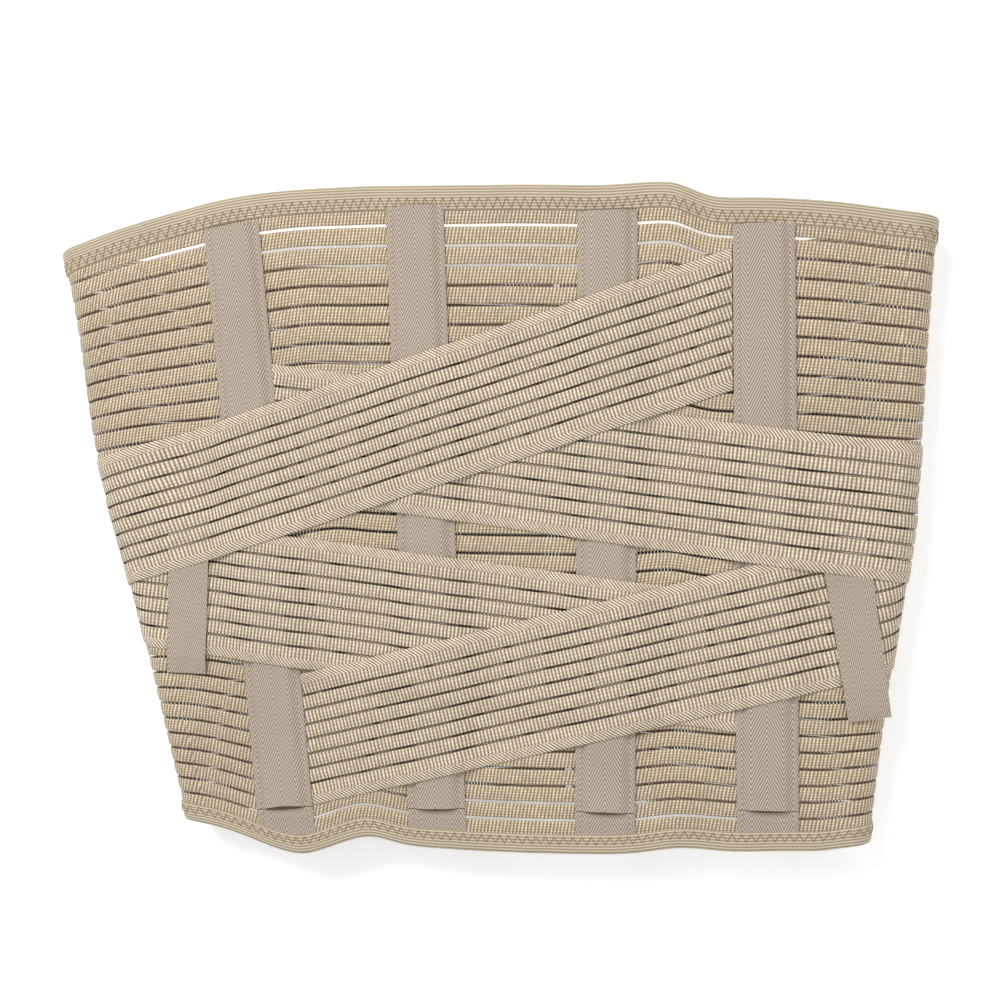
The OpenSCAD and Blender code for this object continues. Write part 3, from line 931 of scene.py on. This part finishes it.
class Strap:
    """One strap's line on the unfolded back: a mm along it from its sewn end, w mm across it."""

    def __init__(self, name):
        end, up_fold, self.side, tape, self.front_lift = STRAPS[name]
        self.end = np.array(end, float)
        low, up, out = FOLDS[self.side]
        away = low + up * up_fold - self.end
        self.d = away / np.linalg.norm(away)
        self.n = np.array([-self.d[1], self.d[0]])
        foot, top = np.array(TAPE_FEET[tape]), np.array(TAPE_TOPS[tape])
        self.edge = (top - foot) / np.linalg.norm(top - foot)
        self.tape = tape

    def start(self, w):
        """Where the strap begins, just under its tape's edge."""
        return -w * cross(self.n, self.edge) / cross(self.d, self.edge) - TUCK

    def at_fold(self, w, inward):
        """Where the strap is that far inside the fold line of the unfolded back."""
        out = FOLDS[self.side][2]
        first = inside(self.side, self.end + w[..., None] * self.n)
        return (first - inward) / (self.d @ out)

    def at_tab(self, w, tab_x):
        low, up, out = FOLDS[self.side]
        base = self.end + w[..., None] * self.n
        beyond = 2 * TURN_R - math.pi * (TURN_R + STRAP_T)
        # on the front, the inward distance is beyond - e, where e is the unfolded inward distance
        x0 = low[0] + ((base - low) @ up) * up[0] - (beyond - inside(self.side, base)) * out[0]
        slope = (self.d @ up) * up[0] - (self.d @ out) * out[0]
        return (tab_x - x0) / slope

    def points(self, a, w):
        return self.end + a[..., None] * self.d + w[..., None] * self.n


straps = {name: Strap(name) for name in STRAPS}
under = np.zeros(plane.shape[:2])
layers = {}


def rest_on(support):
    return np.maximum(blur(spread(support), 2.2), support)


# Each keeper's upper and lower end, and half its width
KEEPERS = {"left": ((-140.5, 8 - MID_Y), (-143.7, -62.5 - MID_Y), 8.6),
           "right": ((154.8, -4 - MID_Y), (166.4, -84 - MID_Y), 9.0)}


# The room under a keeper, and how wide and thick it lies under the upper straps
KEEPER_GAP, KEEPER_REACH, KEEPER_RISE = 0.1, 9.3, 0.5


def on_keeper(side, p):
    top, foot, half = KEEPERS[side]
    down = np.array(foot) - np.array(top)
    length = np.linalg.norm(down)
    down = down / length
    return (p - np.array(top)) @ np.array([-down[1], down[0]]), (p - np.array(top)) @ down, length


for name in STRAPS:
    strap = straps[name]
    support = under.copy()
    for k in range(4):
        if k != strap.tape:
            support = np.maximum(support, tape_fields[k])
    lower = rest_on(support) + UNDER_GAP
    layers[name] = lower
    a = (plane - strap.end) @ strap.d
    w = (plane - strap.end) @ strap.n
    covered = (np.abs(w) < STRAP_HALF) & (a > strap.start(w))
    under = np.where(covered, np.maximum(under, lower + STRAP_T), under)
    for side in ("left", "right"):
        if name == "lower_" + side:
            support = np.maximum(under, tape_fields[0] * (side == "left"))
            over = rest_on(support) + KEEPER_GAP
            layers[side + "_keeper"] = over
            x, y, length = on_keeper(side, plane)
            held = (np.abs(x) < KEEPER_REACH) & (y > 0) & (y < length)
            under = np.where(held, np.maximum(under, over + KEEPER_RISE), under)


def strap_place(strap, lower, first, last):
    """Lays part of a strap, between two lines across it, over the back, fold and front."""

    def place(s, w, lift):
        a = first(w) + (last(w) - first(w)) * s
        p = strap.points(a, w)
        e = inside(strap.side, p)
        up_fold = (p - FOLDS[strap.side][0]) @ FOLDS[strap.side][1]
        rest = sample(lower, p) + swell(p)
        arc = (TURN_R - e) * TURN_R / (TURN_R + STRAP_T)
        over = arc - math.pi * TURN_R
        drawn_in = np.minimum(rest, 0.2 + 1.0 * (strap.front_lift > 4))
        rest = rest + (drawn_in - rest) * smooth((arc + 8) / 18)
        rest = rest + (strap.front_lift - STRAP_T - rest) * smooth((over + 6) / 18)
        flat = solid_point(p, back_face + rest + STRAP_T + lift)
        turned = round_fold(strap.side, arc, up_fold, rest + STRAP_T + lift)
        return np.where((arc > 0)[:, None], turned, flat)

    return place


def strap_rows():
    """Distances across the strap with their lifts. Its two outer ribs each have a selvage."""
    slits = RIB * (np.arange(STRAP_RIBS - 1) - STRAP_MIDDLE)
    edges = np.concatenate([[-STRAP_HALF], slits, [STRAP_HALF]])
    rows = []
    for low, high in zip(edges[:-1], edges[1:]):
        low = low + (SLIT_HALF if low > -STRAP_HALF else 0)
        high = high - (SLIT_HALF if high < STRAP_HALF else 0)
        rows += [(low, -0.3), (low + 0.55, -0.02), ((low + high) / 2, 0.07),
                 (high - 0.55, -0.02), (high, -0.3)]
    return np.array([at for at, lift in rows]), np.array([lift for at, lift in rows])


STRAP_MIDDLE = STRAP_RIBS / 2 - 1
strap_w, strap_lift = strap_rows()
strap_slits = np.arange(4, len(strap_w) - 1, 5)


def lay_strap(name, strap, lower, first, last, steps):
    def weave(points, s, w):
        a = first(w) + (last(w) - first(w)) * s
        return np.stack([a / STRAP_COLUMN, w / RIB + STRAP_MIDDLE], -1)

    place = strap_place(strap, lower, first, last)
    return cloth(name, np.linspace(0, 1, steps), strap_w, strap_lift, place, weave, STRAP_T,
                 strap_slits)


TAB_X, INTO_TAB = 118.0, 3.0
PEEL_L = 14.0  # the length of the strap's part between the flap and its front span
MIDDLE_UP = 140.0  # a height about the middle of each fold
for name, strap in straps.items():
    lower, side, part = layers[name], strap.side, name.split("_")[0]
    half_turn = TURN_R - (TURN_R + STRAP_T) * math.pi / 2
    front_in = 2 * TURN_R - math.pi * (TURN_R + STRAP_T)
    cuts = [strap.start,
            lambda w: strap.at_fold(w, TURN_IN),
            lambda w: strap.at_fold(w, half_turn),
            lambda w: strap.at_fold(w, front_in - PEEL_IN),
            lambda w: strap.at_fold(w, front_in - PEEL_IN - PEEL_L),
            lambda w: strap.at_tab(w, SIDES[side] * (TAB_X - INTO_TAB))]
    back_strap = lay_strap(name + "_webbing", strap, lower, cuts[0], cuts[1], 150)
    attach(back_strap, "root")
    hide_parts(name + "_strap")
    declare(back_strap, strap_cloth, ["back_ribs"])
    upper_turn = lay_strap(name + "_upper_turn", strap, lower, cuts[1], cuts[2], 12)
    bend(upper_turn, side, True)
    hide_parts(side + "_side_" + part + "_strap")
    declare(upper_turn, strap_cloth, [side + "_upper_turn_ribs"])
    lower_turn = lay_strap(name + "_lower_turn", strap, lower, cuts[2], cuts[3], 12)
    bend(lower_turn, side, False)
    if part == "upper":
        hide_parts(side + "_strap_wraps")
    declare(lower_turn, strap_cloth, [side + "_lower_turn_ribs"])
    peel = lay_strap(name + "_peel", strap, lower, cuts[3], cuts[4], 10)
    low, up, out = FOLDS[side]
    middle = low + up * MIDDLE_UP
    held, free = ((*(middle - out * reach) * MM, 2 * MM) for reach in (PEEL_IN, PEELED_IN))
    side + "_front"
    side + "_pull"
    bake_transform(peel)
    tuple(held)
    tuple(free)
    declare(peel, strap_cloth, [side + "_front_ribs"])
    span = lay_strap(name + "_front", strap, lower, cuts[4], cuts[5], 16)
    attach(span, side + "_pull")
    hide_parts(side + "_front_" + part + "_strap")
    declare(span, strap_cloth, [side + "_front_ribs"])

# ---- Strap keepers ----
# A short herringbone tape at each side, sewn down above and below the lower strap, which slides
# under it. The right one's foot is turned under in a small hem and stands off the panel.
KEEPER_T = 0.45
KEEPER_SLACK = {"left": 0.5, "right": 1.6}
HEM = 5.0
for side, (top, foot, half) in KEEPERS.items():
    top, foot = np.array(top), np.array(foot)
    length = np.linalg.norm(foot - top)
    down = (foot - top) / length
    right = np.array([-down[1], down[0]])
    lower = layers[side + "_keeper"]

    def place(x, y, lift):
        back = np.maximum(y - length, 0)
        p = top + x[:, None] * right + (np.minimum(y, length) - back)[:, None] * down
        slack = KEEPER_SLACK[side] * np.exp(-((y - length + 6) / 9) ** 2)
        up = sample(lower, p) + swell(p) + slack + 0.55 + lift
        return solid_point(p, back_face + up - 1.1 * smooth(back / 1.2))

    keeper_y = np.concatenate([np.linspace(0, length - 1, 34), length + np.array([0, 0.6, 1.2, HEM])])
    keeper_x = np.linspace(-half, half, 13)
    keeper = cloth(side + "_keeper_tape", keeper_x, keeper_y, 0.0, place,
                   lambda points, x, y: np.stack([x * 1.4, -y], -1), KEEPER_T)
    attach(keeper, "root")
    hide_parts(side + "_keeper")
    declare(keeper, tape_cloth, ["lower_" + side + "_webbing"])

# ---- Loop panels, front closure and hook tabs ----
# Brushed nylon loop sewn on the outer face of each flap, where the tabs grip. The flaps close with
# a hook pad inside the left flap's edge, which lies on a loop-faced underlap sewn to the right flap.
THREAD_R = 0.2
pile_cloth, t = new_material("brushed_loop")
place = t.node("ShaderNodeTexCoord", output="Object")
curls = t.node("ShaderNodeTexVoronoi", {"feature": "SMOOTH_F1"},
               {"Vector": place, "Scale": 900.0, "Smoothness": 0.6})
nap = noise(t, 420, 3.0, place)
height = (1 - curls) * 0.6 + nap * 0.4
brushed = 0.88 + noise(t, 26, 2.0, place) * 0.24
# Painted light: the colour follows the pile's height, light on the curls' tops and dark in the hollows
# between them.
end_shader(t, brushed.times(height.mix(srgb(134, 118, 90), srgb(228, 213, 186))), height, 0.5,
           Roughness=0.92, Sheen_Weight=0.35)
tab_cloth, t = new_material("laminated_nylon")
place = t.node("ShaderNodeTexCoord", output="Object")
x = t.node("ShaderNodeSeparateXYZ", None, (place,), output="X")
y = t.node("ShaderNodeSeparateXYZ", None, (place,), output="Y")
PLAIN_WEAVE = 0.0009
warp, weft = (x / PLAIN_WEAVE).wave(), (y / PLAIN_WEAVE).wave()
height = warp * weft + (1 - warp) * (1 - weft)
worn = 0.9 + noise(t, 35, 2.0, place) * 0.2
# Painted light: the colour follows the weave's height, light on the raised crossings and dark on the
# low ones.
end_shader(t, worn.times(height.mix(srgb(150, 132, 104), srgb(206, 190, 162))), height, 0.12,
           Roughness=0.78)
hook_plastic, t = new_material("hook_tape")
place = t.node("ShaderNodeTexCoord", output="Object")
milky = noise(t, 60, 2.0, place)
end_shader(t, milky.mix(srgb(172, 154, 126), srgb(204, 189, 163)), noise(t, 1400, 1.0, place), 0.06,
           Roughness=milky * 0.2 + 0.35)


def pad(name, low, high, corner_r=0.0, bevel=0.0):
    """A flat piece between two places in mm, with its four corners and its rims rounded."""
    low, high = np.array(low), np.array(high)
    middle, size = (low + high) / 2, high - low
    bpy.ops.object.select_all(action="DESELECT")
    bpy.ops.mesh.primitive_cube_add(size=1, location=middle * MM)
    piece = bpy.context.object
    piece.name = piece.data.name = name
    bpy.ops.object.mode_set(mode="EDIT")
    bpy.ops.transform.resize(value=tuple(size * MM), center_override=tuple(middle * MM))
    bpy.ops.object.mode_set(mode="OBJECT")
    bpy.ops.object.transform_apply(location=True)
    if corner_r:
        pick_edges(piece, lambda a, b: abs(a.z - b.z) > abs(a.x - b.x) + abs(a.y - b.y))
        bpy.ops.mesh.bevel(offset=corner_r * MM, segments=8, affect="EDGES")
        bpy.ops.object.mode_set(mode="OBJECT")
    if bevel:
        level = (low[2] + 1e-3) * MM, (high[2] - 1e-3) * MM
        pick_edges(piece, lambda a, b: max(a.z, b.z) < level[0] or min(a.z, b.z) > level[1])
        bpy.ops.mesh.bevel(offset=bevel * MM, segments=3, affect="EDGES")
        bpy.ops.object.mode_set(mode="OBJECT")
    area = size[0] * size[1] - (4 - math.pi) * corner_r**2
    FLAT[name] = (size[0] * MM, size[1] * MM, area * MM * MM)
    bpy.ops.object.shade_smooth_by_angle(angle=math.radians(50))
    return piece


def pick_edges(piece, wanted):
    """Selects the edges whose two ends pass a test, and leaves the piece in edit mode."""
    bpy.ops.object.mode_set(mode="EDIT")
    bpy.ops.mesh.select_mode(type="EDGE")
    bpy.ops.mesh.select_all(action="DESELECT")
    bpy.ops.object.mode_set(mode="OBJECT")
    for edge in piece.data.edges:
        edge.select = wanted(*(piece.data.vertices[v].co for v in edge.vertices))
    bpy.ops.object.mode_set(mode="EDIT")


def node_corners(node):
    """A node's lowest and highest corner in mm."""
    return [np.array(corner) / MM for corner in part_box(node)]


LOCK_PITCH, LOCK_L = 2.6, 1.9


def outline_stitches(name, low, high, inset, z, corner_r):
    """Lockstitches round a rounded rectangle, that far inside it."""
    half = (high[:2] - low[:2]) / 2 - inset
    middle = (high[:2] + low[:2]) / 2
    bend_r = max(corner_r - inset, 0.5)
    turn = np.linspace(0, math.pi / 2, 9)
    path = []
    for k, (sx, sy) in enumerate(((1, 1), (-1, 1), (-1, -1), (1, -1))):
        angle = turn + k * math.pi / 2
        centre = middle + (half - bend_r) * [sx, sy]
        path.append(centre + bend_r * np.stack([np.cos(angle), np.sin(angle)], -1))
    path = np.concatenate(path + [path[0][:1]])
    along = np.concatenate([[0], np.cumsum(np.linalg.norm(np.diff(path, axis=0), axis=1))])
    at = np.arange(0, along[-1] - LOCK_L, LOCK_PITCH)
    starts, ends = (np.stack([np.interp(at + more, along, path[:, axis]) for axis in (0, 1)], -1)
                    for more in (0, LOCK_L))
    origins, axes = tube_axes(solid_point(starts, z), solid_point(ends, z), THREAD_R)
    piece = copies(name, prototype("cylinder", vertices=6, radius=1, depth=2), origins, axes)
    piece.data.materials.append(sewing_thread)
    return piece


HOOK_PITCH, HOOK_R, HOOK_H, HOOK_LEAN, HOOK_INSET = 2.4, 0.16, 0.7, 0.28, 2


def hooks(name, low, high):
    """Rows of small moulded hooks that stand up on a pad, with their heads leaning one way."""
    x, y = (np.arange(low[axis] + HOOK_INSET, high[axis] - HOOK_INSET, HOOK_PITCH) for axis in (0, 1))
    x, y = np.meshgrid(x, y)
    places = np.stack([x.ravel(), y.ravel(), np.full(x.size, high[2])], -1)
    corners, faces = prototype("cylinder", vertices=5, radius=HOOK_R, depth=HOOK_H)
    corners[corners[:, 2] > 0, 0] += HOOK_LEAN
    corners[:, 2] += HOOK_H / 2
    upright = np.broadcast_to(np.eye(3), (len(places), 3, 3))
    piece = copies(name, (corners, faces), places, upright)
    piece.data.materials.append(hook_plastic)
    return piece


def dress(node, material):
    """Gives a node its finish, in place of the plain one."""
    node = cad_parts[node]
    node.data.materials.clear()
    node.data.materials.append(material)


for side in SIDES:
    low, high = node_corners(side + "_loop_panel")
    loop = pad(side + "_loop_cloth", low, high, 5.0, 0.25)
    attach(loop, side + "_front")
    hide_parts(side + "_loop_panel")
    declare(loop, pile_cloth, [side + "_front_ribs"])
    seam = outline_stitches(side + "_loop_stitches", low, high, 2.5, low[2], 5.0)
    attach(seam, side + "_front")

dress("closure_hook", hook_plastic)
low, high = node_corners("closure_hook")
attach(hooks("closure_hooks", low, high), "left_front")
seam = outline_stitches("closure_hook_stitches", low, high, 1.6, high[2], 1.0)
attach(seam, "left_front")

low, high = node_corners("closure_loop")
closure_loop = pad("closure_loop_cloth", low, high, 4.0, 0.25)
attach(closure_loop, "right_front")
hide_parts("closure_loop")
declare(closure_loop, pile_cloth, ["underlap_cloth"])
seam = outline_stitches("closure_loop_stitches", low, high, 2.5, low[2], 4.0)
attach(seam, "right_front")
low, high = node_corners("underlap_panel")
underlap = pad("underlap_cloth", low, high, 8.0, 0.4)
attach(underlap, "right_front")
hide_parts("underlap_panel")
declare(underlap, tab_cloth, ["closure_loop_cloth"])
dress("underlap_seam", tab_cloth)
seam = outline_stitches("underlap_stitches", low, high, 3.0, high[2], 8.0)
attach(seam, "right_front")

# Closing edges: the same folded elastic binding, sewn over the two edges that meet at the front
CLOSING_W, CLOSING_IN, CLOSING_THIN = 10.0, 1.5, 0.8
across = np.array([at * CLOSING_W for at, lift in BIND_SECTION])
edge_lift = np.array([lift for at, lift in BIND_SECTION])
numbers = np.arange(len(across), dtype=float)
for side, sign in SIDES.items():

    def closing_place(s, width, lift):
        s = s if side == "left" else 1 - s
        x = LAP_EDGE[side] + sign * width
        y = FRONT_DOWN + CLOSING_IN + (FRONT_UP - FRONT_DOWN - 2 * CLOSING_IN) * s
        return np.stack([x, y, front_face - lift * CLOSING_THIN], -1)

    closing = cloth(side + "_closing_edge", np.linspace(0, 1, 60), numbers, edge_lift,
                    lambda s, n, lift: closing_place(s, np.interp(n, numbers, across), lift),
                    lambda points, s, n: np.stack([points[:, 1], n], -1), BIND_T)
    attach(closing, side + "_front")
    declare(closing, binding_cloth, [side + "_front_ribs"])

# Hook tabs: two layers of laminated nylon round the ends of the straps, with the hook pad inside
TAB_CORNER, TAB_RIM = 20.0, 0.7
TAB_HOOKS_IN = np.array([8, 8, 0])
for side in SIDES:
    pull = side + "_pull"
    low, high = node_corners(side + "_tab")
    tab = pad(side + "_tab_cloth", low, high)
    tip_x = (high[0] if side == "left" else low[0]) * MM
    pick_edges(tab, lambda a, b: abs(a.z - b.z) > abs(a.x - b.x) + abs(a.y - b.y)
               and abs(a.x - tip_x) < 1e-5)
    bpy.ops.mesh.bevel(offset=TAB_CORNER * MM, segments=12, affect="EDGES")
    bpy.ops.object.mode_set(mode="OBJECT")
    rims = low[2] * MM + 1e-5, high[2] * MM - 1e-5
    pick_edges(tab, lambda a, b: max(a.z, b.z) < rims[0] or min(a.z, b.z) > rims[1])
    bpy.ops.mesh.bevel(offset=TAB_RIM * MM, segments=4, affect="EDGES")
    bpy.ops.object.mode_set(mode="OBJECT")
    bpy.ops.object.shade_smooth_by_angle(angle=math.radians(40))
    width, length, area = FLAT[tab.name]
    FLAT[tab.name] = (width, length, area - (2 - math.pi / 2) * (TAB_CORNER * MM) ** 2)
    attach(tab, pull)
    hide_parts(side + "_tab")
    declare(tab, tab_cloth, [side + "_tab_hook"])
    for row, inset in (("outer", 2.5), ("inner", 5.5)):
        seam = outline_stitches(side + "_tab_" + row + "_stitches", low, high, inset,
                                low[2] + 0.12, TAB_CORNER)
        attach(seam, pull)
    dress(side + "_tab_hook", hook_plastic)
    low, high = node_corners(side + "_tab_hook")
    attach(hooks(side + "_tab_hooks", low + TAB_HOOKS_IN, high - TAB_HOOKS_IN), pull)

# ---- Floor, light and camera ----
# A pale seamless floor, a broad soft light over the belt, and the camera above its back.
bpy.ops.object.select_all(action="DESELECT")
bpy.ops.mesh.primitive_grid_add(x_subdivisions=2, y_subdivisions=2, size=6)
floor = bpy.context.object
floor.name = "floor"
FLOOR_DROP = 0.8  # keeps the floor clear of the tabs' faces
floor.location.z = -FLOOR_DROP * MM
floor_paint, t = new_material("floor_paint")
end_shader(t, srgb(250, 250, 251), Roughness=0.9, Emission_Color=(1, 1, 1, 1), Emission_Strength=0.25)
floor.data.materials.append(floor_paint)

world = bpy.data.worlds.new("studio")
world.use_nodes = True
world.node_tree.nodes["Background"].inputs["Color"].default_value = (1, 1, 1, 1)
world.node_tree.nodes["Background"].inputs["Strength"].default_value = 0.55
bpy.context.scene.world = world


def lamp(name, place, target, size, power):
    light = bpy.data.lights.new(name, "AREA")
    light.shape, light.size, light.energy = "DISK", size, power
    holder = bpy.data.objects.new(name, light)
    bpy.context.scene.collection.objects.link(holder)
    away = Vector(place) - Vector(target)
    holder.location = place
    holder.rotation_euler = away.to_track_quat("Z", "Y").to_euler()


lamp("key", (-0.7, 1.1, 1.3), (0, 0, 0), 0.9, 26)
lamp("fill", (0.9, -0.3, 1.4), (0, 0, 0), 1.2, 8)

YAW, ROLL = math.radians(10.46), math.radians(-1.4)
EYE_AT = (0.1365, 0.0113, 0.7537)
camera = bpy.data.cameras.new("camera")
camera.lens, camera.sensor_width = 60, 36
eye = bpy.data.objects.new("camera", camera)
bpy.context.scene.collection.objects.link(eye)
turn = Matrix.Rotation(YAW, 4, "Y") @ Matrix.Rotation(ROLL, 4, "Z")
eye.matrix_world = Matrix.Translation(EYE_AT) @ turn
bpy.context.scene.camera = eye
bpy.context.scene.view_settings.view_transform = "Standard"
